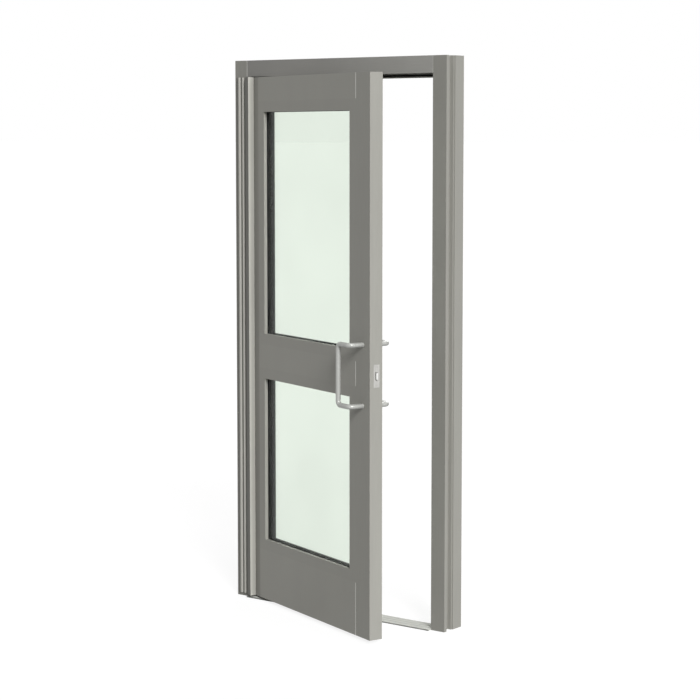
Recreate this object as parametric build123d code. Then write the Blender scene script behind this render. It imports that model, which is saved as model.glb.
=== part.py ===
from build123d import *
import os
from math import cos, radians, sin

# Every shape is drawn with the leaf shut, in millimetres, from the outer left front
# bottom corner of the frame: X to the right, Y to the back, Z up.
# place_frame and place_leaf move the finished shapes to the stored pose.

# Overall sizes
FRAME_W = 1041.4
FRAME_H = 2197.1
FRAME_D = 114.3
JAMB_FACE = 62.5
HEAD_FACE = 64.8
OPEN_DEG = 20.64

# Frame extrusions
WALL = 2.5
POCKET_X = 20.0
POCKET_FRONT = 15.5
POCKET_BACK = 57.5
POCKET_LIP = 5.0
POCKET_STEP = 6.0
PACKER_T = 19.0
STOP_PROUD = 16.0
STOP_GAP = 4.0
STOP_DEEP = 41.0
THRESHOLD_T = 6.35
THRESHOLD_FRONT = -19.5
THRESHOLD_PAST = 19.0

# Leaf
LEAF_T = 55.0
LEAF_BOTTOM = 13.5
HINGE_GAP = 3.0
LOCK_GAP = 4.0
HEAD_GAP = 3.2
TUBE_WALL = 3.0
BEAD_W = 43.4
BEAD_T = 14.0
HINGE_TUBE = 51.7
LOCK_TUBE = 99.2
TOP_TUBE = 95.3
MID_TUBE = 95.2
BOTTOM_TUBE = 203.4
MID_Z = 1010.2
TONGUE = 20.0
BITE = 12.0
PANE_T = 6.0
GASKET_T = 1.5

# Continuous hinge
CORE_R = 6.6
CORE_GAP = 0.4
BEAD_R = 3.0
BEAD_GAP = 0.06
NECK = 1.0
CAP_GAP = 1.8
CAP_WALL = 2.1
CAP_OFF = 3.5
HINGE_PLATE = 3.0
COVER_X0 = 10.0
COVER_X1 = 64.0
COVER_T = 1.6
RIB_HALF = (8.0, 6.4)
RIB_OUT = (6.9, 5.7)
BEARING_R = 7.5
BEARING_H = 30.0
BEARING_COUNT = 6
HINGE_SCREWS = 8

# Latch and pulls
LATCH_Z = 1009.2
LATCH_Y = 30.0
ROLLER_R = 4.5
ROLLER_OUT = 3.0
ROLLER_H = 24.8
PULL_Z = 1008.6
PULL_SPAN = 229.4
PULL_EDGE = 49.0
PULL_OUT = 67.5
PULL_SIDE = 80.0
PULL_R = 9.5

# Sizes that follow from the ones above
HEAD_Z = FRAME_H - HEAD_FACE
STOP_Y = LEAF_T + STOP_GAP
THRESHOLD_BACK = STOP_Y + THRESHOLD_PAST
SPACE_T = LEAF_T - 2 * (BEAD_T + GASKET_T + PANE_T)
HINGE_HALF = CORE_R + CORE_GAP
BORE_R = BEAD_R + BEAD_GAP
CAP_IN = CORE_R + CAP_GAP
CAP_OUT = CAP_IN + CAP_WALL
HINGE_Y = -CAP_OUT - CAP_OFF
HINGE_X = JAMB_FACE + PACKER_T + HINGE_GAP
PIVOT_X = HINGE_X - HINGE_HALF
BEAD_X = HINGE_X + HINGE_HALF
CAP_SIDE = BEAD_X + HINGE_HALF + CAP_WALL
LEAF_X0 = HINGE_X + HINGE_GAP
LEAF_X1 = FRAME_W - JAMB_FACE - LOCK_GAP
LEAF_TOP = HEAD_Z - HEAD_GAP
LOCK_FACE = FRAME_W - JAMB_FACE
PULL_X = LEAF_X1 - PULL_EDGE
PULL_LOW = PULL_Z - PULL_SPAN / 2
PULL_HIGH = PULL_Z + PULL_SPAN / 2
GLASS_X0 = LEAF_X0 + HINGE_TUBE + BEAD_W
GLASS_X1 = LEAF_X1 - LOCK_TUBE - BEAD_W
LOWER = (LEAF_BOTTOM + BOTTOM_TUBE + BEAD_W, MID_Z - MID_TUBE / 2 - BEAD_W)
UPPER = (MID_Z + MID_TUBE / 2 + BEAD_W, LEAF_TOP - TOP_TUBE - BEAD_W)


# Small drawing helpers

def box(x0, x1, y0, y1, z0, z1):
    return Pos((x0 + x1) / 2, (y0 + y1) / 2, (z0 + z1) / 2) * Box(x1 - x0, y1 - y0, z1 - z0)


def rod_x(x0, x1, y, z, r):
    return Pos((x0 + x1) / 2, y, z) * Rot(0, 90, 0) * Cylinder(r, x1 - x0)


def rod_y(y0, y1, x, z, r):
    return Pos(x, (y0 + y1) / 2, z) * Rot(90, 0, 0) * Cylinder(r, y1 - y0)


def rod_z(z0, z1, x, y, r):
    return Pos(x, y, (z0 + z1) / 2) * Cylinder(r, z1 - z0)


def rect(x0, x1, y0, y1):
    return Pos((x0 + x1) / 2, (y0 + y1) / 2) * Rectangle(x1 - x0, y1 - y0)


def outline(points):
    return make_face(Polyline(*points, close=True))


def up(section, z0, z1):
    return extrude(Pos(0, 0, z0) * section, amount=z1 - z0, dir=(0, 0, 1))


def along_x(section_yz, x0, x1):
    plane = Plane(origin=(x0, 0, 0), x_dir=(0, 1, 0), z_dir=(1, 0, 0))
    return extrude(plane * section_yz, amount=x1 - x0, dir=(1, 0, 0))


def along_y(section_xz, y0, y1):
    plane = Plane(origin=(0, y0, 0), x_dir=(1, 0, 0), z_dir=(0, -1, 0))
    return extrude(plane * section_xz, amount=y1 - y0, dir=(0, 1, 0))


def group(items):
    solids = []
    for item in items:
        solids.extend(item.solids())
    return Compound(solids)


def spread(first, last, count):
    step = (last - first) / (count - 1)
    return [first + step * i for i in range(count)]


def place_frame(shape):
    return Pos(-FRAME_W / 2, 0, 0) * shape


def place_leaf(shape):
    turned = shape.rotate(Axis((PIVOT_X, HINGE_Y, 0), (0, 0, 1)), -OPEN_DEG)
    return place_frame(turned)


# Frame

def jamb_section(outer, inner):
    """Hollow jamb with a glazing pocket on its outer side; outer and inner are X."""
    s = 1 if inner > outer else -1

    def part(a, b, y0, y1):
        xa, xb = outer + s * a, outer + s * b
        return rect(min(xa, xb), max(xa, xb), y0, y1)

    body = part(0, JAMB_FACE, 0, FRAME_D)
    body -= part(0, POCKET_X, POCKET_FRONT, POCKET_BACK - POCKET_STEP)
    body -= part(0, POCKET_LIP, POCKET_BACK - POCKET_STEP - 1, POCKET_BACK)
    body -= part(POCKET_X + WALL, JAMB_FACE - WALL, WALL, FRAME_D - WALL)
    body -= part(WALL, POCKET_X, WALL, POCKET_FRONT - WALL)
    body -= part(WALL, POCKET_X, POCKET_BACK + WALL, FRAME_D - WALL)
    body -= part(POCKET_LIP + WALL, POCKET_X, POCKET_BACK - POCKET_STEP + WALL, POCKET_BACK + WALL + 1)
    return body


def anchor_heights():
    return (FRAME_H * 0.2, FRAME_H * 0.8)


def clip_screws():
    """Y and Z of the two screws in each shear block."""
    return [(FRAME_D * 0.3, HEAD_Z + HEAD_FACE / 2), (FRAME_D * 0.7, HEAD_Z + HEAD_FACE / 2)]


def hinge_plate_screws():
    return [(45.0, z) for z in spread(LEAF_BOTTOM + 60, LEAF_TOP - 60, HINGE_SCREWS)]


def hinge_jamb():
    body = up(jamb_section(0, JAMB_FACE), 0, FRAME_H)
    mid = (POCKET_FRONT + POCKET_BACK) / 2
    holes = [rod_x(POCKET_X - 1, POCKET_X + WALL + 1, mid, z, 4.5) for z in anchor_heights()]
    holes += [rod_x(JAMB_FACE - WALL - 1, JAMB_FACE + 1, y, z, 3.1) for y, z in clip_screws()]
    holes += [rod_y(-1, WALL + 1, x, z, 2.6) for x, z in hinge_plate_screws()]
    return body - holes


def lock_jamb():
    body = up(jamb_section(FRAME_W, LOCK_FACE), 0, FRAME_H)
    mid = (POCKET_FRONT + POCKET_BACK) / 2
    web = FRAME_W - POCKET_X
    holes = [rod_x(web - WALL - 1, web + 1, mid, z, 4.5) for z in anchor_heights()]
    holes += [rod_x(LOCK_FACE - 1, LOCK_FACE + WALL + 1, y, z, 3.1) for y, z in clip_screws()]
    holes += [strike_window(0.2)]
    holes += [rod_x(LOCK_FACE - 1, LOCK_FACE + WALL + 1, LATCH_Y, z, 2.6) for z in strike_heights()]
    return body - holes


def hinge_packer():
    x0, x1 = JAMB_FACE, JAMB_FACE + PACKER_T
    section = rect(x0, x1, 0, FRAME_D) - rect(x0 + WALL, x1 - WALL, WALL, FRAME_D - WALL)
    return up(section, THRESHOLD_T, HEAD_Z)


def header():
    outer = rect(0, FRAME_D, HEAD_Z, FRAME_H)
    inner = rect(WALL, FRAME_D - WALL, HEAD_Z + WALL, FRAME_H - WALL)
    web = rect(POCKET_BACK, POCKET_BACK + WALL, HEAD_Z + WALL, FRAME_H - WALL)
    return along_x(outer - inner + web, JAMB_FACE, LOCK_FACE)


def clip_boxes(y0, y1, face, s):
    z0, z1 = HEAD_Z + WALL + 0.3, FRAME_H - WALL - 0.3
    xs = sorted((face, face + s * 3))
    leg = sorted((face, face + s * 40))
    body = box(xs[0], xs[1], y0, y1, z0, z1)
    body += box(leg[0], leg[1], y0, y1, z0, z0 + 3)
    body += box(leg[0], leg[1], y0, y1, z1 - 3, z1)
    return body


def shear_blocks():
    solids = []
    for face, s in ((JAMB_FACE, 1), (LOCK_FACE, -1)):
        for y, z in clip_screws():
            y0, y1 = (6, POCKET_BACK - 4) if y < POCKET_BACK else (POCKET_BACK + 6, FRAME_D - 6)
            block = clip_boxes(y0, y1, face, s)
            xs = sorted((face - s, face + s * 4))
            solids.append(block - rod_x(xs[0], xs[1], y, z, 3.1))
    return group(solids)


def frame_screws():
    solids = []
    for face, s in ((JAMB_FACE, 1), (LOCK_FACE, -1)):
        for y, z in clip_screws():
            shank = sorted((face - s * 12, face + s * 3))
            head = sorted((face + s * 3, face + s * 6.5))
            solids.append(rod_x(shank[0], shank[1], y, z, 3.0) + rod_x(head[0], head[1], y, z, 5.5))
    return group(solids)


def stop_tube(u0, u1, groove):
    """Door stop section: u across, Y deep, with a seal groove in its front."""
    body = rect(u0, u1, STOP_Y, STOP_Y + STOP_DEEP)
    body -= rect(u0 + 2, u1 - 2, STOP_Y + 7, STOP_Y + STOP_DEEP - 2)
    return body - rect(groove - 2, groove + 2, STOP_Y, STOP_Y + 3)


def seal_section(groove):
    """Hollow bulb with a stem pressed into the stop's groove."""
    bulb = Pos(groove, STOP_Y - 0.1) * Ellipse(3.6, 3.6)
    hole = Pos(groove, STOP_Y - 0.1) * Circle(2.5)
    front = rect(groove - 6, groove + 6, STOP_Y - 8, STOP_Y)
    body = (bulb & front) - (hole & rect(groove - 6, groove + 6, STOP_Y - 8, STOP_Y - 1))
    return body + rect(groove - 1.8, groove + 1.8, STOP_Y - 0.5, STOP_Y + 2.7)


def flip_yz(section):
    """Turns a section drawn as (u, y) into one drawn as (y, u)."""
    return mirror(section, about=Plane(origin=(0, 0, 0), z_dir=(1, -1, 0)))


def head_stop():
    z = HEAD_Z
    section = stop_tube(z - STOP_PROUD, z, z - STOP_PROUD / 2)
    return along_x(flip_yz(section), JAMB_FACE + PACKER_T, LOCK_FACE)


def hinge_stop():
    x = JAMB_FACE + PACKER_T
    section = stop_tube(x, x + STOP_PROUD, x + STOP_PROUD / 2)
    return up(section, THRESHOLD_T, HEAD_Z - STOP_PROUD)


def lock_stop():
    x = LOCK_FACE
    section = stop_tube(x - STOP_PROUD, x, x - STOP_PROUD / 2)
    return up(section, THRESHOLD_T, HEAD_Z - STOP_PROUD)


def head_weatherstrip():
    section = seal_section(HEAD_Z - STOP_PROUD / 2)
    return along_x(flip_yz(section), JAMB_FACE + PACKER_T + 2, LOCK_FACE - 2)


def hinge_weatherstrip():
    section = seal_section(JAMB_FACE + PACKER_T + STOP_PROUD / 2)
    return up(section, THRESHOLD_T + 1, HEAD_Z - STOP_PROUD - 1)


def lock_weatherstrip():
    section = seal_section(LOCK_FACE - STOP_PROUD / 2)
    return up(section, THRESHOLD_T + 1, HEAD_Z - STOP_PROUD - 1)


def threshold_screw_spots():
    spots = []
    for x in spread(JAMB_FACE + 70, LOCK_FACE - 70, 4):
        spots.append((x, 24.0))
    return spots


def threshold():
    y0, y1, t = THRESHOLD_FRONT, THRESHOLD_BACK, THRESHOLD_T
    points = [(y0, 0), (y0, 2.2), (y0 + 15, t)]
    y = y0 + 21
    while y + 6 < y1 - 24:
        points += [(y, t), (y + 0.8, t - 0.8), (y + 2.6, t - 0.8), (y + 3.4, t)]
        y += 7
    points += [(y1 - 15, t), (y1, 2.2), (y1, 0)]
    body = along_x(outline(points), JAMB_FACE, LOCK_FACE)
    holes = [rod_z(-1, t + 1, x, y, 2.9) for x, y in threshold_screw_spots()]
    heads = [rod_z(t - 3.2, t + 1, x, y, 5.2) for x, y in threshold_screw_spots()]
    return body - holes - heads


def threshold_screws():
    t = THRESHOLD_T
    solids = []
    for x, y in threshold_screw_spots():
        head = rod_z(t - 3.2, t - 0.9, x, y, 5.1) - box(x - 4, x + 4, y - 0.6, y + 0.6, t - 1.8, t)
        solids.append(head + rod_z(0.2, t - 3.2, x, y, 2.7))
    return group(solids)


def strike_window(gap):
    return box(LOCK_FACE - 1, LOCK_FACE + WALL + 1, LATCH_Y - 13 - gap, LATCH_Y + 13 + gap,
               LATCH_Z - 33 - gap, LATCH_Z + 33 + gap)


def strike_heights():
    return (LATCH_Z - 46, LATCH_Z + 46)


def strike_plate():
    x = LOCK_FACE
    body = box(x, x + WALL, LATCH_Y - 13, LATCH_Y + 13, LATCH_Z - 33, LATCH_Z + 33)
    body += box(x + WALL, x + WALL + 3, LATCH_Y - 17, LATCH_Y + 17, LATCH_Z - 60, LATCH_Z + 60)
    body -= box(x - 1, x + WALL + 4, LATCH_Y - 6.5, LATCH_Y + 6.5, LATCH_Z - 17, LATCH_Z + 17)
    return body - [rod_x(x, x + WALL + 4, LATCH_Y, z, 2.6) for z in strike_heights()]


def strike_screws():
    x = LOCK_FACE
    solids = []
    for z in strike_heights():
        solids.append(rod_x(x - 1.6, x, LATCH_Y, z, 4.4) + rod_x(x, x + 12, LATCH_Y, z, 2.5))
    return group(solids)


# Continuous hinge

def polar(cx, cy, r, degrees):
    return (cx + r * cos(radians(degrees)), cy + r * sin(radians(degrees)))


def hinge_web():
    """Web from the knuckle back to the plate, its outer face just short of the hinge line."""
    out = HINGE_HALF - 0.3
    top = -HINGE_PLATE - HINGE_Y
    points = [(out - 3.4, 0), (CORE_R, 0), (out, 1), (out, top), (out - 2.4, top), (out - 2.4, 3.35)]
    points += [(out - 4.1, 2.0)]
    return outline([(PIVOT_X + x, HINGE_Y + y) for x, y in points])


def frame_core():
    """Bored knuckle on the pivot, open where the cap's neck swings, with its web."""
    body = Pos(PIVOT_X, HINGE_Y) * Circle(CORE_R)
    wedge = [(PIVOT_X, HINGE_Y)]
    wedge += [polar(PIVOT_X, HINGE_Y, 12, a) for a in (46, 75, 105, 135, 165, 202)]
    body = body - outline(wedge) + hinge_web()
    return body - Pos(PIVOT_X, HINGE_Y) * Circle(BORE_R)


def door_core():
    """The door side's knuckle, slotted to grip the cap's other neck."""
    body = Pos(PIVOT_X, HINGE_Y) * Circle(CORE_R) + hinge_web()
    body -= rect(PIVOT_X - CORE_R - 1, PIVOT_X, HINGE_Y - NECK - BEAD_GAP, HINGE_Y + NECK + BEAD_GAP)
    body -= Pos(PIVOT_X, HINGE_Y) * Circle(BORE_R)
    return mirror(body, about=Plane(origin=(HINGE_X, 0, 0), z_dir=(1, 0, 0)))


def bearing_bottoms():
    return [z - BEARING_H / 2 for z in spread(LEAF_BOTTOM + 160, LEAF_TOP - 160, BEARING_COUNT)]


def bearing_notches(x):
    r = BEARING_R + 0.6
    return [rod_z(z - 0.3, z + BEARING_H + 0.3, x, HINGE_Y, r) for z in bearing_bottoms()]


def hinge_frame_leaf():
    section = frame_core() + rect(COVER_X0 + 4, HINGE_X - 0.3, -HINGE_PLATE, 0)
    body = up(section, LEAF_BOTTOM, LEAF_TOP) - bearing_notches(PIVOT_X)
    holes = [rod_y(-HINGE_PLATE - 1, 1, x, z, 2.6) for x, z in hinge_plate_screws()]
    heads = [rod_y(-HINGE_PLATE - 1, 1.6 - HINGE_PLATE, x, z, 4.7) for x, z in hinge_plate_screws()]
    return body - holes - heads


def hinge_frame_screws():
    solids = []
    for x, z in hinge_plate_screws():
        head = rod_y(-HINGE_PLATE, 1.6 - HINGE_PLATE, x, z, 4.6)
        solids.append(head + rod_y(1.6 - HINGE_PLATE, 12, x, z, 2.5))
    return group(solids)


def hinge_cover():
    """Snap-on cover with two rounded ribs that hides the frame plate's screws."""
    y1 = -HINGE_PLATE - 0.1
    y0 = y1 - COVER_T
    body = rect(COVER_X0, COVER_X1, y0, y1) + rect(COVER_X0, COVER_X0 + 3.6, y0, 0)
    foot = y0 + 0.1
    for x, r, high in zip((COVER_X0 + 15.3, COVER_X0 + 34.5), RIB_HALF, RIB_OUT):
        arc = ThreePointArc((x - r, foot), (x, y0 - high), (x + r, foot))
        body += make_face([arc, Line((x + r, foot), (x - r, foot))])
    return up(body, LEAF_BOTTOM, LEAF_TOP)


def cap_outline(r, side, back):
    """Round nose on the pivot, flat front and a square side down to the leaf's face."""
    return Pos(PIVOT_X, HINGE_Y) * Circle(r) + rect(PIVOT_X, side, HINGE_Y - r, back)


def hinge_cap():
    """Cap over both knuckles: one bead turns on the pivot, the other holds the door side."""
    body = cap_outline(CAP_OUT, CAP_SIDE, 0) - cap_outline(CAP_IN, CAP_SIDE - CAP_WALL, 1)
    body -= rect(PIVOT_X - 20, PIVOT_X + 1, HINGE_Y + NECK, HINGE_Y + 20)
    body += rect(PIVOT_X - CAP_OUT + 0.1, PIVOT_X, HINGE_Y - NECK, HINGE_Y + NECK)
    body += rect(BEAD_X, CAP_SIDE - 0.1, HINGE_Y - NECK, HINGE_Y + NECK)
    body += Pos(PIVOT_X, HINGE_Y) * Circle(BEAD_R)
    body += Pos(BEAD_X, HINGE_Y) * Circle(BEAD_R)
    return up(body, LEAF_BOTTOM, LEAF_TOP)


def hinge_bearings():
    slot = NECK + 0.1
    r = BEARING_R
    section = Pos(PIVOT_X, HINGE_Y) * Circle(r) + Pos(BEAD_X, HINGE_Y) * Circle(r)
    section -= rect(PIVOT_X - r - 1, PIVOT_X, HINGE_Y - slot, HINGE_Y + slot)
    section -= rect(BEAD_X, BEAD_X + r + 1, HINGE_Y - slot, HINGE_Y + slot)
    section -= rect(CAP_SIDE - CAP_WALL - 0.3, CAP_SIDE, HINGE_Y - r, HINGE_Y + r)
    section -= Pos(PIVOT_X, HINGE_Y) * Circle(BEAD_R + 0.1)
    section -= Pos(BEAD_X, HINGE_Y) * Circle(BEAD_R + 0.1)
    return group([up(section, z, z + BEARING_H) for z in bearing_bottoms()])


def door_screw_heights():
    return spread(LEAF_BOTTOM + 90, LEAF_TOP - 90, HINGE_SCREWS)


def hinge_door_leaf():
    x0 = HINGE_X + 0.3
    section = door_core() + rect(x0, LEAF_X0, -HINGE_PLATE - 0.2, 45)
    body = up(section, LEAF_BOTTOM, LEAF_TOP) - bearing_notches(BEAD_X)
    holes = [rod_x(x0 - 1, LEAF_X0 + 1, 24, z, 2.6) for z in door_screw_heights()]
    heads = [rod_x(x0 - 1, x0 + 1.5, 24, z, 4.7) for z in door_screw_heights()]
    return body - holes - heads


def hinge_door_screws():
    x0 = HINGE_X + 0.3
    solids = []
    for z in door_screw_heights():
        solids.append(rod_x(x0, x0 + 1.5, 24, z, 4.6) + rod_x(x0 + 1.5, LEAF_X0 + 12, 24, z, 2.5))
    return group(solids)


# Leaf

def openings():
    return (LOWER, UPPER)


def tongue(x0, x1, z0, z1, upright):
    y0, y1 = BEAD_T, LEAF_T - BEAD_T
    body = box(x0, x1, y0, y1, z0, z1)
    if upright:
        return body - box(x0 + 2, x1 - 2, y0 + 2, y1 - 2, z0 - 1, z1 + 1)
    return body - box(x0 - 1, x1 + 1, y0 + 2, y1 - 2, z0 + 2, z1 - 2)


def tie_rod_heights():
    return (LEAF_BOTTOM + BOTTOM_TUBE / 2, MID_Z, LEAF_TOP - TOP_TUBE / 2)


def stile(x0, x1, tongue_x0, tongue_x1):
    w = TUBE_WALL
    body = box(x0, x1, 0, LEAF_T, LEAF_BOTTOM, LEAF_TOP)
    body -= box(x0 + w, x1 - w, w, LEAF_T - w, LEAF_BOTTOM - 1, LEAF_TOP + 1)
    for z0, z1 in openings():
        low, high = z0 - BEAD_W + TONGUE, z1 + BEAD_W - TONGUE
        body += tongue(tongue_x0, tongue_x1, low, high, True)
    return body


def hinge_stile():
    x0, x1 = LEAF_X0, LEAF_X0 + HINGE_TUBE
    body = stile(x0, x1, x1, x1 + TONGUE)
    holes = [rod_x(x1 - 5, x1 + 1, LEAF_T / 2, z, 5.3) for z in tie_rod_heights()]
    holes += [rod_x(x0 - 1, x0 + 4, 24, z, 2.6) for z in door_screw_heights()]
    return body - holes


def lock_stile():
    x0, x1 = LEAF_X1 - LOCK_TUBE, LEAF_X1
    body = stile(x0, x1, x0 - TONGUE, x0)
    holes = [rod_x(x0 - 1, x0 + 5, LEAF_T / 2, z, 5.3) for z in tie_rod_heights()]
    holes += [rod_y(-1, LEAF_T + 1, PULL_X, z, 4.3) for z in (PULL_LOW, PULL_HIGH)]
    holes += [box(x1 - 5, x1 + 1, LATCH_Y - 12.95, LATCH_Y + 12.95, LATCH_Z - 42.95, LATCH_Z + 42.95)]
    return body - holes


def rail(z0, z1, low_tongue, high_tongue):
    x0, x1 = LEAF_X0 + HINGE_TUBE, LEAF_X1 - LOCK_TUBE
    w = TUBE_WALL
    body = box(x0, x1, 0, LEAF_T, z0, z1) - box(x0 - 1, x1 + 1, w, LEAF_T - w, z0 + w, z1 - w)
    if high_tongue:
        body += tongue(x0, x1, z1, z1 + TONGUE, False)
    if low_tongue:
        body += tongue(x0, x1, z0 - TONGUE, z0, False)
    return body


def bottom_rail():
    return rail(LEAF_BOTTOM, LEAF_BOTTOM + BOTTOM_TUBE, False, True)


def mid_rail():
    return rail(MID_Z - MID_TUBE / 2, MID_Z + MID_TUBE / 2, True, True)


def top_rail():
    return rail(LEAF_TOP - TOP_TUBE, LEAF_TOP, True, False)


def tie_rods():
    x0, x1 = LEAF_X0 + HINGE_TUBE - 16, LEAF_X1 - LOCK_TUBE + 16
    return group([rod_x(x0, x1, LEAF_T / 2, z, 5) for z in tie_rod_heights()])


def tie_rod_nuts():
    solids = []
    for face, s in ((LEAF_X0 + HINGE_TUBE, -1), (LEAF_X1 - LOCK_TUBE, 1)):
        for z in tie_rod_heights():
            xs = sorted((face + s * TUBE_WALL, face + s * (TUBE_WALL + 9)))
            plane = Plane(origin=(xs[0], LEAF_T / 2, z), x_dir=(0, 1, 0), z_dir=(1, 0, 0))
            nut = extrude(plane * RegularPolygon(9.2, 6), amount=xs[1] - xs[0], dir=(1, 0, 0))
            solids.append(nut - rod_x(xs[0] - 1, xs[1] + 1, LEAF_T / 2, z, 5.1))
    return group(solids)


def stop_pair(z0, z1, y0, sides):
    """Two mitred hollow glazing stops round one opening."""
    x0, x1, w, y1 = GLASS_X0, GLASS_X1, BEAD_W, y0 + BEAD_T
    solids = []
    if sides:
        for inner, outer in ((x0, x0 - w), (x1, x1 + w)):
            points = [(inner, z0), (outer, z0 - w), (outer, z1 + w), (inner, z1)]
            xs = sorted((inner, outer))
            hollow = box(xs[0] + 2, xs[1] - 2, y0 + 2, y1 - 2, z0 - w - 1, z1 + w + 1)
            solids.append(along_y(outline(points), y0, y1) - hollow)
    else:
        for inner, outer in ((z0, z0 - w), (z1, z1 + w)):
            points = [(x0, inner), (x1, inner), (x1 + w, outer), (x0 - w, outer)]
            zs = sorted((inner, outer))
            hollow = box(x0 - w - 1, x1 + w + 1, y0 + 2, y1 - 2, zs[0] + 2, zs[1] - 2)
            solids.append(along_y(outline(points), y0, y1) - hollow)
    return group(solids)


def ring(z0, z1, out, inn, y0, y1):
    """Rectangular ring round an opening, from out beyond the sight line to inn inside it."""
    body = box(GLASS_X0 - out, GLASS_X1 + out, y0, y1, z0 - out, z1 + out)
    return body - box(GLASS_X0 + inn, GLASS_X1 - inn, y0 - 1, y1 + 1, z0 + inn, z1 - inn)


def pane(z0, z1, y0):
    return box(GLASS_X0 - BITE, GLASS_X1 + BITE, y0, y0 + PANE_T, z0 - BITE, z1 + BITE)


def setting_blocks():
    solids = []
    for z0, z1 in openings():
        for x in (GLASS_X0 + 120, GLASS_X1 - 200):
            solids.append(box(x, x + 80, BEAD_T + 0.5, LEAF_T - BEAD_T - 0.5,
                              z0 - BEAD_W + TONGUE, z0 - BITE))
    return group(solids)


# Latch

def latch_face():
    x1 = LEAF_X1
    body = box(x1 - 2.5, x1, LATCH_Y - 12.75, LATCH_Y + 12.75, LATCH_Z - 42.75, LATCH_Z + 42.75)
    body -= box(x1 - 4, x1 + 1, LATCH_Y - 5.5, LATCH_Y + 5.5, LATCH_Z - 15.5, LATCH_Z + 15.5)
    return body - [rod_x(x1 - 4, x1 + 1, LATCH_Y, z, 3.9) for z in latch_screw_heights()]


def latch_screw_heights():
    return (LATCH_Z - 34, LATCH_Z + 34)


def latch_case():
    x1 = LEAF_X1 - 2.5
    body = box(x1 - 46, x1, LATCH_Y - 11, LATCH_Y + 11, LATCH_Z - 26, LATCH_Z + 26)
    body += box(x1 - 3.5, x1, LATCH_Y - 11, LATCH_Y + 11, LATCH_Z - 41, LATCH_Z + 41)
    body -= box(x1 - 44, x1 + 1, LATCH_Y - 9, LATCH_Y + 9, LATCH_Z - 24, LATCH_Z + 24)
    return body - [rod_x(x1 - 5, x1 + 1, LATCH_Y, z, 2.1) for z in latch_screw_heights()]


def latch_screws():
    x1 = LEAF_X1
    solids = []
    for z in latch_screw_heights():
        head = rod_x(x1 - 2.4, x1 - 0.2, LATCH_Y, z, 3.7)
        head -= box(x1 - 1, x1 + 1, LATCH_Y - 3, LATCH_Y + 3, z - 0.5, z + 0.5)
        solids.append(head + rod_x(x1 - 14, x1 - 2.4, LATCH_Y, z, 2.0))
    return group(solids)


def roller_x():
    return LEAF_X1 + ROLLER_OUT


def roller_carrier():
    x = roller_x()
    body = box(x - 36, x - 14.5, LATCH_Y - 8.7, LATCH_Y + 8.7, LATCH_Z - 23.7, LATCH_Z + 23.7)
    half = ROLLER_H / 2 + 0.3
    for z0, z1 in ((-half - 2.2, -half), (half, half + 2.2)):
        body += box(x - 14.5, x, LATCH_Y - 3.6, LATCH_Y + 3.6, LATCH_Z + z0, LATCH_Z + z1)
        body += rod_z(LATCH_Z + z0, LATCH_Z + z1, x, LATCH_Y, 3.6)
    return body - rod_z(LATCH_Z - 30, LATCH_Z + 30, x, LATCH_Y, 2.05)


def roller_pin():
    half = ROLLER_H / 2 + 2.5
    return rod_z(LATCH_Z - half, LATCH_Z + half, roller_x(), LATCH_Y, 2.0)


def latch_roller():
    half = ROLLER_H / 2
    body = rod_z(LATCH_Z - half, LATCH_Z + half, roller_x(), LATCH_Y, ROLLER_R)
    return body - rod_z(LATCH_Z - 20, LATCH_Z + 20, roller_x(), LATCH_Y, 2.06)


# Pulls

def pull(face, s):
    """Offset round-bar pull; face is the leaf face it stands on, s its way out in Y."""
    x0, x1 = PULL_X, PULL_X - PULL_SIDE
    y = face + s * (PULL_OUT - PULL_R)
    path = FilletPolyline(
        (x0, face, PULL_LOW), (x0, y, PULL_LOW), (x1, y, PULL_LOW),
        (x1, y, PULL_HIGH), (x0, y, PULL_HIGH), (x0, face, PULL_HIGH), radius=17)
    bar = sweep(Plane(origin=(x0, face, PULL_LOW), z_dir=(0, s, 0)) * Circle(PULL_R), path=path)
    ys = sorted((face - s, face + s * 22))
    return bar - [rod_y(ys[0], ys[1], x0, z, 4.2) for z in (PULL_LOW, PULL_HIGH)]


def pull_studs():
    return group([rod_y(-20, LEAF_T + 20, PULL_X, z, 4.0) for z in (PULL_LOW, PULL_HIGH)])


# Writing the parts

FRAME_PARTS = {
    "hinge_jamb": hinge_jamb,
    "hinge_packer": hinge_packer,
    "lock_jamb": lock_jamb,
    "header": header,
    "shear_blocks": shear_blocks,
    "frame_screws": frame_screws,
    "head_stop": head_stop,
    "hinge_stop": hinge_stop,
    "lock_stop": lock_stop,
    "head_weatherstrip": head_weatherstrip,
    "hinge_weatherstrip": hinge_weatherstrip,
    "lock_weatherstrip": lock_weatherstrip,
    "threshold": threshold,
    "threshold_screws": threshold_screws,
    "strike_plate": strike_plate,
    "strike_screws": strike_screws,
    "hinge_frame_leaf": hinge_frame_leaf,
    "hinge_cover": hinge_cover,
    "hinge_frame_screws": hinge_frame_screws,
}

LEAF_PARTS = {
    "hinge_cap": hinge_cap,
    "hinge_bearings": hinge_bearings,
    "hinge_door_leaf": hinge_door_leaf,
    "hinge_door_screws": hinge_door_screws,
    "hinge_stile": hinge_stile,
    "lock_stile": lock_stile,
    "top_rail": top_rail,
    "mid_rail": mid_rail,
    "bottom_rail": bottom_rail,
    "tie_rods": tie_rods,
    "tie_rod_nuts": tie_rod_nuts,
    "setting_blocks": setting_blocks,
    "latch_face": latch_face,
    "latch_case": latch_case,
    "latch_screws": latch_screws,
    "roller_carrier": roller_carrier,
    "roller_pin": roller_pin,
    "latch_roller": latch_roller,
    "pull_studs": pull_studs,
}


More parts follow.
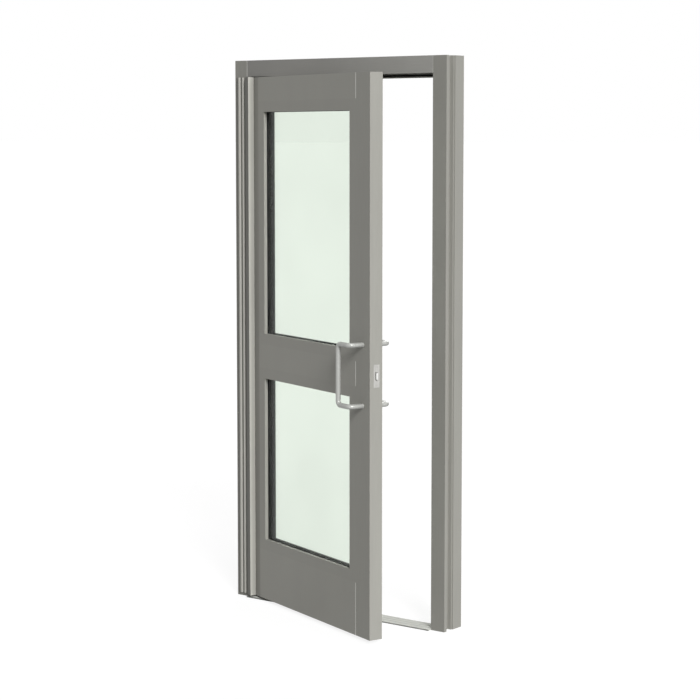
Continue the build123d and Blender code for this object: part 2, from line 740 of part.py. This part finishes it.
def glazing_parts():
    parts = {}
    y_out = BEAD_T + GASKET_T
    y_in = y_out + PANE_T + SPACE_T
    for name, (z0, z1) in (("lower", LOWER), ("upper", UPPER)):
        back = LEAF_T - BEAD_T
        for side, y in (("front", 0), ("back", back)):
            parts[name + "_" + side + "_side_stops"] = stop_pair(z0, z1, y, True)
            parts[name + "_" + side + "_rail_stops"] = stop_pair(z0, z1, y, False)
        parts[name + "_front_gasket"] = ring(z0, z1, 10, 1.5, BEAD_T, y_out)
        parts[name + "_back_gasket"] = ring(z0, z1, 10, 1.5, y_in + PANE_T, back)
        parts[name + "_outer_pane"] = pane(z0, z1, y_out)
        parts[name + "_inner_pane"] = pane(z0, z1, y_in)
        parts[name + "_spacer"] = ring(z0, z1, BITE - 3, 0, y_out + PANE_T, y_in)
    return parts


def main():
    os.makedirs("parts", exist_ok=True)
    for name, make in FRAME_PARTS.items():
        export_step(place_frame(make()), "parts/" + name + ".step")
    for name, make in LEAF_PARTS.items():
        export_step(place_leaf(make()), "parts/" + name + ".step")
    for name, shape in glazing_parts().items():
        export_step(place_leaf(shape), "parts/" + name + ".step")
    export_step(place_leaf(pull(0, -1)), "parts/front_pull.step")
    export_step(place_leaf(pull(LEAF_T, 1)), "parts/back_pull.step")


main()
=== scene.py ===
import math

import bpy
from mathutils import Matrix, Vector


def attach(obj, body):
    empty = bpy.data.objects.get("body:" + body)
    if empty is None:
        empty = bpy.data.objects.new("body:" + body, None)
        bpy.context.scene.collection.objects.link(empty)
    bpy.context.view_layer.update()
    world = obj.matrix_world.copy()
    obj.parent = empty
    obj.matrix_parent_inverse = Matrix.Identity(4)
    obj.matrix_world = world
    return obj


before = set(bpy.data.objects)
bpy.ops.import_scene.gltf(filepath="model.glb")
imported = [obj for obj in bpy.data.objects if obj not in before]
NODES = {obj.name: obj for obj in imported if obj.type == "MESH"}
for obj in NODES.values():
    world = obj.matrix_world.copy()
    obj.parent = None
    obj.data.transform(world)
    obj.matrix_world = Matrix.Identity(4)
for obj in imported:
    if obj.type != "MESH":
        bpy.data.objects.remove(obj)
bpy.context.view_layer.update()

# The frame's width and the leaf's pivot, in millimetres from the frame's left front edge
WIDTH = 1041.4
PIVOT_X = 77.5
PIVOT_Y = -14.0
OPEN = math.radians(20.64)

# Camera, in metres and degrees
CAM_POS = (4.7821, -6.1346, 1.9078)
CAM_YAW = 37.5560
CAM_DOWN = 5.2863
CAM_LENS = 102.027
CAM_SHIFT_Y = -0.0483


def set_camera():
    cam = bpy.data.cameras.new("camera")
    cam.lens = CAM_LENS
    cam.sensor_width = 36
    cam.sensor_fit = "HORIZONTAL"
    cam.shift_y = CAM_SHIFT_Y
    cam.clip_start = 0.05
    cam.clip_end = 1000
    obj = bpy.data.objects.new("camera", cam)
    bpy.context.scene.collection.objects.link(obj)
    obj.location = CAM_POS
    obj.rotation_euler = (math.radians(90 - CAM_DOWN), 0, math.radians(CAM_YAW))
    bpy.context.scene.camera = obj


# Node helpers

def new_material(name):
    mat = bpy.data.materials.new(name)
    mat.use_nodes = True
    mat.node_tree.nodes.clear()
    return mat, mat.node_tree.nodes, mat.node_tree.links


def add(nodes, kind, **values):
    node = nodes.new(kind)
    for key, value in values.items():
        setattr(node, key, value)
    return node


def shader(nodes, links, **inputs):
    out = add(nodes, "ShaderNodeOutputMaterial")
    bsdf = add(nodes, "ShaderNodeBsdfPrincipled")
    for key, value in inputs.items():
        bsdf.inputs[key.replace("_", " ")].default_value = value
    links.new(bsdf.outputs[0], out.inputs[0])
    return bsdf


def ramp(nodes, links, source, low, high, pos=(0.3, 0.7)):
    node = add(nodes, "ShaderNodeValToRGB")
    node.color_ramp.elements[0].position = pos[0]
    node.color_ramp.elements[1].position = pos[1]
    node.color_ramp.elements[0].color = low
    node.color_ramp.elements[1].color = high
    links.new(source, node.inputs[0])
    return node.outputs[0]


def grain(nodes, links, angle, stretch, scale, detail=3):
    """Noise stretched along one direction; angle turns it about Z to lie in the leaf."""
    coord = add(nodes, "ShaderNodeTexCoord")
    mapping = add(nodes, "ShaderNodeMapping")
    mapping.inputs["Rotation"].default_value = (0, 0, angle)
    mapping.inputs["Scale"].default_value = stretch
    noise = add(nodes, "ShaderNodeTexNoise")
    noise.inputs["Scale"].default_value = scale
    noise.inputs["Detail"].default_value = detail
    links.new(coord.outputs["Object"], mapping.inputs[0])
    links.new(mapping.outputs[0], noise.inputs[0])
    return noise.outputs[0]


def srgb(r, g, b):
    def lin(c):
        c = c / 255
        return c / 12.92 if c <= 0.04045 else ((c + 0.055) / 1.055) ** 2.4
    return (lin(r), lin(g), lin(b), 1)


def toned(colour, level):
    """The colour with its linear brightness scaled."""
    r, g, b, _ = srgb(*colour)
    return (r * level, g * level, b * level, 1)


def painted_light_factor(nodes, links, origin, turn, span, stops):
    """Painted light and shade: a brightness factor along X, measured from origin in a frame turned about Z.
    """
    coord = add(nodes, "ShaderNodeTexCoord")
    mapping = add(nodes, "ShaderNodeMapping")
    spin = Matrix.Rotation(turn, 3, "Z")
    mapping.inputs["Rotation"].default_value = (0, 0, turn)
    mapping.inputs["Location"].default_value = -(spin @ Vector(origin))
    split = add(nodes, "ShaderNodeSeparateXYZ")
    scale = add(nodes, "ShaderNodeMapRange")
    scale.inputs["From Max"].default_value = span
    node = add(nodes, "ShaderNodeValToRGB")
    node.color_ramp.elements[0].position = stops[0][0] / span
    node.color_ramp.elements[0].color = (stops[0][1],) * 3 + (1,)
    node.color_ramp.elements[1].position = stops[-1][0] / span
    node.color_ramp.elements[1].color = (stops[-1][1],) * 3 + (1,)
    for at, level in stops[1:-1]:
        element = node.color_ramp.elements.new(at / span)
        element.color = (level,) * 3 + (1,)
    links.new(coord.outputs["Object"], mapping.inputs[0])
    links.new(mapping.outputs[0], split.inputs[0])
    links.new(split.outputs[0], scale.inputs[0])
    links.new(scale.outputs[0], node.inputs[0])
    return node.outputs[0]


# Grain of the finishes: noise scales, depth of the relief in metres, spread of the tone
LINE_SCALE = 900
CLOUD_SCALE = 6
BUMP_DEPTH = 0.0002
TONE_SPREAD = 1.13


def anodised(name, along, angle=0.0, level=1.0, colour=(150, 149, 143), rough=0.58, painted_light_bands=()):
    """Anodised extrusion: fine die lines along the bar, a cloudy tone and a satin sheen, times any bands of
    painted light and shade.
    """
    mat, nodes, links = new_material(name)
    bsdf = shader(nodes, links, Metallic=0.12, Specular_IOR_Level=0.2)
    stretch = {"z": (1, 1, 0.01), "x": (0.01, 1, 1)}[along]
    lines = grain(nodes, links, angle, stretch, LINE_SCALE)
    cloud = grain(nodes, links, angle, (1, 1, 0.25), CLOUD_SCALE)
    mix = add(nodes, "ShaderNodeMath", operation="ADD")
    half = add(nodes, "ShaderNodeMath", operation="MULTIPLY")
    half.inputs[1].default_value = 0.5
    links.new(lines, mix.inputs[0])
    links.new(cloud, mix.inputs[1])
    links.new(mix.outputs[0], half.inputs[0])
    low, high = toned(colour, level), toned(colour, level * TONE_SPREAD)
    tint = ramp(nodes, links, half.outputs[0], low, high, (0.35, 0.65))
    # Each band multiplies painted light and shade into the colour
    for each in painted_light_bands:
        blend = add(nodes, "ShaderNodeMix", data_type="RGBA", blend_type="MULTIPLY")
        blend.inputs["Factor"].default_value = 1
        links.new(tint, blend.inputs["A"])
        links.new(painted_light_factor(nodes, links, *each), blend.inputs["B"])
        tint = blend.outputs["Result"]
    links.new(tint, bsdf.inputs["Base Color"])
    tone = ramp(nodes, links, cloud, (rough - 0.05,) * 3 + (1,), (rough + 0.06,) * 3 + (1,))
    links.new(tone, bsdf.inputs["Roughness"])
    bump = add(nodes, "ShaderNodeBump")
    bump.inputs["Strength"].default_value = 0.06
    bump.inputs["Distance"].default_value = BUMP_DEPTH
    links.new(lines, bump.inputs["Height"])
    links.new(bump.outputs[0], bsdf.inputs["Normal"])
    return mat


def polished(name, colour, rough, metallic, scale=160):
    """Machined or polished metal: faint scuffs in gloss and tone."""
    mat, nodes, links = new_material(name)
    bsdf = shader(nodes, links, Metallic=metallic)
    scuff = grain(nodes, links, 0, (1, 1, 0.3), scale, 5)
    low, high = srgb(*[c - 8 for c in colour]), srgb(*[c + 6 for c in colour])
    links.new(ramp(nodes, links, scuff, low, high), bsdf.inputs["Base Color"])
    tone = ramp(nodes, links, scuff, (rough - 0.05,) * 3 + (1,), (rough + 0.08,) * 3 + (1,))
    links.new(tone, bsdf.inputs["Roughness"])
    return mat


def rubber(name, colour):
    """Matt rubber or moulded plastic with a fine speckle."""
    mat, nodes, links = new_material(name)
    bsdf = shader(nodes, links, Specular_IOR_Level=0.12)
    speck = grain(nodes, links, 0, (1, 1, 0.2), 500)
    low, high = srgb(*[max(c - 6, 0) for c in colour]), srgb(*[c + 8 for c in colour])
    links.new(ramp(nodes, links, speck, low, high), bsdf.inputs["Base Color"])
    tone = ramp(nodes, links, speck, (0.55, 0.55, 0.55, 1), (0.75, 0.75, 0.75, 1))
    links.new(tone, bsdf.inputs["Roughness"])
    bump = add(nodes, "ShaderNodeBump")
    bump.inputs["Strength"].default_value = 0.2
    bump.inputs["Distance"].default_value = BUMP_DEPTH
    links.new(speck, bump.inputs["Height"])
    links.new(bump.outputs[0], bsdf.inputs["Normal"])
    return mat


def glass(name, tint):
    """Clear float glass with a pale green body and a very slight waviness."""
    mat, nodes, links = new_material(name)
    bsdf = shader(nodes, links, Transmission_Weight=1.0, Roughness=0.0, IOR=1.2)
    wave = grain(nodes, links, 0, (1, 1, 1), 2.5, 1)
    low, high = srgb(*[c - 2 for c in tint]), srgb(*[min(c + 1, 255) for c in tint])
    links.new(ramp(nodes, links, wave, low, high), bsdf.inputs["Base Color"])
    return mat


# Painted light and shade, laid as bands of brightness across faces: origin in metres, turn, span and (place,
# factor) stops

LEFT = (-WIDTH / 2000, 0, 0)
PIVOT = ((PIVOT_X - WIDTH / 2) / 1000, PIVOT_Y / 1000, 0)
COVER_LEFT = (-0.5107, 0, 0)
CAP_FRONT_Y = -0.0245
THRESHOLD_FRONT_Y = -0.0195
ALONG_Y = -math.pi / 2
TREAD_PITCH = 0.024


def painted_front_shade(level):
    """Painted shade on a front face alone, which ends just behind it."""
    return ((0, -0.001, 0), ALONG_Y, 0.01, ((0.0, level), (0.0015, level), (0.002, 1.0), (0.01, 1.0)))


def tread_painted_shade_stops():
    """Painted shade: a dark front edge, then a soft dark line of groove shade at each tread."""
    stops = [(0.0, 0.30), (0.0040, 0.30), (0.0044, 1.0)]
    for i in (1, 2, 3):
        at = TREAD_PITCH * i
        stops += [(at - 0.005, 1.0), (at, 0.68), (at + 0.003, 1.0)]
    return stops


# Painted light and shade: the header darker at the left, lighter towards the right
HEADER_PAINTED_LIGHT = (LEFT, 0.0, 1.04, (
    (0.07, 0.61), (0.35, 0.67), (0.50, 0.70), (0.60, 0.765), (0.75, 0.845), (0.88, 0.91), (1.04, 0.93)))
# Painted shade: the lock stile's front face darker, up to its edge
LOCK_STILE_PAINTED_SHADE = (PIVOT, OPEN, 0.9, ((0.7, 0.92), (0.8960, 0.92), (0.8968, 1.0), (0.9, 1.0)))
# Painted shadow: the hinge stile darker next to the hinge cap, fading away from it
HINGE_STILE_PAINTED_SHADOW = (PIVOT, OPEN, 0.10, ((0.023, 0.70), (0.036, 0.80), (0.055, 0.91), (0.075, 1.0)))
# Painted light and shade: lit right flanks and shaded valleys across the hinge cover's ribs
COVER_PAINTED_LIGHT = (COVER_LEFT, 0.0, 0.06, (
    (0.006, 0.30), (0.0115, 0.40), (0.0170, 0.60), (0.0200, 0.72), (0.0228, 0.74), (0.0232, 0.32),
    (0.0338, 0.32), (0.0348, 0.70), (0.0404, 0.76), (0.0412, 0.32), (0.052, 0.32)))
# Painted shade: the hinge cap's front dark, its side left at full tone
CAP_FRONT_PAINTED_SHADE = (PIVOT, OPEN, 0.03, ((0.0, 0.33), (0.0209, 0.33), (0.0213, 1.0), (0.03, 1.0)))
# Painted light: the hinge cap's side lightest at its front corner, darker towards the back
CAP_SIDE_PAINTED_LIGHT = ((PIVOT[0], CAP_FRONT_Y, 0), OPEN + ALONG_Y, 0.03, (
    (0.0, 1.12), (0.006, 1.0), (0.013, 0.82), (0.022, 0.76), (0.03, 0.76)))
# Painted shade: the threshold's dark front edge and tread lines
TREAD_PAINTED_SHADE = ((0, THRESHOLD_FRONT_Y, 0), ALONG_Y, 0.11, tread_painted_shade_stops())


def make_materials():
    return {
        "header": anodised("header", "x", 0, 1.08, (150, 149, 145), painted_light_bands=[HEADER_PAINTED_LIGHT]),
        # Painted shade darkens the front faces of the frame uprights and of the lock jamb
        "frame_upright": anodised("frame_upright", "z", 0, 0.95, painted_light_bands=[painted_front_shade(0.78)]),
        "lock_jamb": anodised("lock_jamb", "z", 0, 1.02, painted_light_bands=[painted_front_shade(0.80)]),
        "head_stop": anodised("head_stop", "x"),
        "lock_stile": anodised("lock_stile", "z", OPEN, 1.08, painted_light_bands=[LOCK_STILE_PAINTED_SHADE]),
        "hinge_stile": anodised("hinge_stile", "z", OPEN, 0.90, painted_light_bands=[HINGE_STILE_PAINTED_SHADOW]),
        "rail": anodised("rail", "x", OPEN, 1.03),
        "stop_upright": anodised("stop_upright", "z", OPEN, 1.0),
        "stop_across": anodised("stop_across", "x", OPEN, 1.0),
        "cover": anodised("cover", "z", 0, 1.7, painted_light_bands=[COVER_PAINTED_LIGHT]),
        "cap": anodised("cap", "z", OPEN, 1.45, painted_light_bands=[CAP_FRONT_PAINTED_SHADE, CAP_SIDE_PAINTED_LIGHT]),
        "mill": anodised("mill", "x", 0, 0.88, (205, 206, 200), 0.68, [TREAD_PAINTED_SHADE]),
        # Painted highlight: a pale tone for the light caught along the joints
        "joint_highlight": anodised("joint_highlight", "z", 0, 1.0, (228, 227, 222), 0.5),
        "pull": polished("pull", (176, 177, 173), 0.3, 0.2, 900),
        "latch": polished("latch", (184, 183, 179), 0.35, 0.1),
        "roller": polished("roller", (225, 225, 222), 0.25, 0.15),
        "zinc": polished("zinc", (175, 175, 172), 0.35, 0.6),
        "rubber": rubber("rubber", (16, 16, 17)),
        # Painted shade: the dark green-grey of the rear reveals, shaded and seen through the glass
        "rear_reveal_painted_shade": rubber("rear_reveal_painted_shade", (58, 70, 60)),
        "spacer": rubber("spacer", (38, 38, 40)),
        "plastic": rubber("plastic", (80, 80, 80)),
        "glass": glass("glass", (240, 245, 239)),
    }


# The first word found in a node's name gives its material
RULES = [
    ("pane", "glass"), ("gasket", "rubber"), ("weatherstrip", "rubber"), ("spacer", "spacer"),
    ("bearings", "plastic"), ("setting_blocks", "plastic"),
    ("latch_screws", "latch"), ("screws", "zinc"), ("tie_rod", "zinc"),
    ("shear", "zinc"), ("pull_studs", "zinc"),
    ("roller_pin", "latch"), ("latch_roller", "roller"), ("latch_", "latch"), ("strike_plate", "latch"),
    ("roller_carrier", "latch"), ("front_pull", "pull"), ("back_pull", "pull"), ("threshold", "mill"),
    ("hinge_cap", "cap"), ("hinge_door_leaf", "cap"), ("hinge_cover", "cover"), ("hinge_frame_leaf", "cover"),
    ("rail_stops", "stop_across"), ("side_stops", "stop_upright"), ("_rail", "rail"),
    ("hinge_stile", "hinge_stile"), ("lock_stile", "lock_stile"), ("header", "header"),
    ("head_stop", "head_stop"), ("lock_jamb", "lock_jamb"), ("", "frame_upright"),
]


def dress_nodes(mats):
    for name, obj in NODES.items():
        for key, mat in RULES:
            if key in name:
                obj.data.materials.clear()
                obj.data.materials.append(mats[mat])
                break


# Added pieces, drawn in millimetres: X from the frame's left side, with the leaf shut

BEVEL = 0.0001
SEAM_Y = (-0.25, 0.3)
LEAF_SEAM_X = 875.7
LEAF_SEAM_HALF = 1.0
LEAF_SEAM_HEIGHTS = ((15.0, 216.0), (963.5, 1057.0), (2034.5, 2128.5))
FRAME_SEAMS = ((62.6, 0.5), (978.8, 0.2))
FRAME_SEAM_HEIGHT = (2133, 2196.5)
OPENINGS = ((260.3, 919.2), (1101.2, 1990.4))
GLASS_X = (182.6, 832.3)
LIP_T = 0.8
# The fins' colour is painted shade of the rear reveals
LIPS = (("rear_gasket_lips", 40.8, 48.6, "rubber"), ("rear_gasket_fins_painted_shade", 48.6, 53.0, "rear_reveal_painted_shade"))


def placed(x, y, z, on_leaf):
    """The point in the scene, turned with the open leaf if it's on it."""
    px, py = x - PIVOT_X, y - PIVOT_Y
    if on_leaf:
        c, n = math.cos(OPEN), math.sin(OPEN)
        px, py = px * c + py * n, -px * n + py * c
    return ((px + PIVOT_X - WIDTH / 2) / 1000, (py + PIVOT_Y) / 1000, z / 1000)


def boxes(name, items, mat, body, on_leaf):
    """One object made of boxes given as x0, x1, y0, y1, z0, z1."""
    verts, faces = [], []
    for x0, x1, y0, y1, z0, z1 in items:
        n = len(verts)
        verts += [placed(x, y, z, on_leaf) for z in (z0, z1) for y in (y0, y1) for x in (x0, x1)]
        for quad in ((0, 2, 3, 1), (4, 5, 7, 6), (0, 1, 5, 4), (2, 6, 7, 3), (0, 4, 6, 2), (1, 3, 7, 5)):
            faces.append([n + i for i in quad])
    mesh = bpy.data.meshes.new(name)
    mesh.from_pydata(verts, [], faces)
    obj = bpy.data.objects.new(name, mesh)
    bpy.context.scene.collection.objects.link(obj)
    mesh.materials.append(mat)
    bevel = obj.modifiers.new("edge", "BEVEL")
    bevel.width = BEVEL
    bevel.segments = 2
    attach(obj, body)


def make_joint_highlights(mats):
    """Painted highlight: fine pale strips along the joints between the members, for the light their edges
    catch.
    """
    x, half = LEAF_SEAM_X, LEAF_SEAM_HALF
    on_leaf = [(x - half, x + half, *SEAM_Y, *height) for height in LEAF_SEAM_HEIGHTS]
    boxes("leaf_joint_highlights", on_leaf, mats["joint_highlight"], "leaf", True)
    on_frame = [(x - half, x + half, *SEAM_Y, *FRAME_SEAM_HEIGHT) for x, half in FRAME_SEAMS]
    boxes("frame_joint_highlights", on_frame, mats["joint_highlight"], "frame", False)


def make_lips(mats):
    """Rubber lips of the rear gaskets, lying against the rear stops, and beside them dark green-grey fins
    whose colour is painted shade of the rear reveals tinted by the glass.
    """
    x0, x1 = GLASS_X
    t = LIP_T
    for name, y0, y1, mat in LIPS:
        items = []
        for z0, z1 in OPENINGS:
            items += [(x0, x0 + t, y0, y1, z0, z1), (x1 - t, x1, y0, y1, z0, z1)]
            items += [(x0 + t, x1 - t, y0, y1, z, z + t) for z in (z0, z1 - t)]
        boxes(name, items, mats[mat], "leaf", True)


# Floor and light: sizes in metres, suns as direction, strength and angle

FLOOR_HALF = 300
FLOOR_DROP = 0.0006
FLOOR_TONE = 0.42
FLOOR_TONE_SEEN = 0.22
FLOOR_GLOW = 0.85
AMBIENT = 0.15
SUNS = {
    "key": ((0.6958, -0.5436, 0.4695), 3.1, 22),
    "side": ((0.866, 0.0, 0.5), 0.5, 30),
    "back": ((-0.35, 0.80, 0.49), 1.2, 30),
}


def make_floor():
    """A pale floor that glows to white for the camera and keeps the object's shadow."""
    mesh = bpy.data.meshes.new("floor")
    s = FLOOR_HALF
    mesh.from_pydata([(-s, -s, 0), (s, -s, 0), (s, s, 0), (-s, s, 0)], [], [(0, 1, 2, 3)])
    floor = bpy.data.objects.new("floor", mesh)
    bpy.context.scene.collection.objects.link(floor)
    floor.location.z = -FLOOR_DROP
    mat, nodes, links = new_material("floor")
    out = add(nodes, "ShaderNodeOutputMaterial")
    both = add(nodes, "ShaderNodeAddShader")
    diffuse = add(nodes, "ShaderNodeBsdfDiffuse")
    tone = add(nodes, "ShaderNodeMapRange")
    tone.inputs["To Min"].default_value = FLOOR_TONE
    tone.inputs["To Max"].default_value = FLOOR_TONE_SEEN
    glow = add(nodes, "ShaderNodeEmission")
    glow.inputs[0].default_value = (1, 1, 1, 1)
    path = add(nodes, "ShaderNodeLightPath")
    seen = seen_by(nodes, links, path)
    part = add(nodes, "ShaderNodeMath", operation="MULTIPLY")
    part.inputs[1].default_value = FLOOR_GLOW
    links.new(seen, tone.inputs["Value"])
    links.new(tone.outputs[0], diffuse.inputs[0])
    links.new(seen, part.inputs[0])
    links.new(part.outputs[0], glow.inputs[1])
    links.new(diffuse.outputs[0], both.inputs[0])
    links.new(glow.outputs[0], both.inputs[1])
    links.new(both.outputs[0], out.inputs[0])
    mesh.materials.append(mat)


def seen_by(nodes, links, path):
    """1 for camera, glossy and transmission rays, 0 for the rest."""
    first = add(nodes, "ShaderNodeMath", operation="MAXIMUM")
    second = add(nodes, "ShaderNodeMath", operation="MAXIMUM")
    links.new(path.outputs["Is Camera Ray"], first.inputs[0])
    links.new(path.outputs["Is Glossy Ray"], first.inputs[1])
    links.new(first.outputs[0], second.inputs[0])
    links.new(path.outputs["Is Transmission Ray"], second.inputs[1])
    return second.outputs[0]


def set_world(ambient):
    world = bpy.data.worlds.new("studio")
    bpy.context.scene.world = world
    world.use_nodes = True
    nodes, links = world.node_tree.nodes, world.node_tree.links
    nodes.clear()
    out = add(nodes, "ShaderNodeOutputWorld")
    back = add(nodes, "ShaderNodeBackground")
    back.inputs[0].default_value = (1, 1, 1, 1)
    path = add(nodes, "ShaderNodeLightPath")
    level = add(nodes, "ShaderNodeMapRange")
    level.inputs["To Min"].default_value = ambient
    level.inputs["To Max"].default_value = 1.0
    links.new(seen_by(nodes, links, path), level.inputs["Value"])
    links.new(level.outputs[0], back.inputs[1])
    links.new(back.outputs[0], out.inputs[0])


def sun(name, direction, strength, angle):
    data = bpy.data.lights.new(name, "SUN")
    data.energy = strength
    data.angle = math.radians(angle)
    obj = bpy.data.objects.new(name, data)
    bpy.context.scene.collection.objects.link(obj)
    obj.rotation_euler = Vector(direction).to_track_quat("Z", "Y").to_euler()


def set_lights():
    set_world(AMBIENT)
    for name, (direction, strength, angle) in SUNS.items():
        sun(name, direction, strength, angle)


set_camera()
MATS = make_materials()
dress_nodes(MATS)
make_joint_highlights(MATS)
make_lips(MATS)
make_floor()
set_lights()

scene = bpy.context.scene
scene.view_settings.view_transform = "Standard"
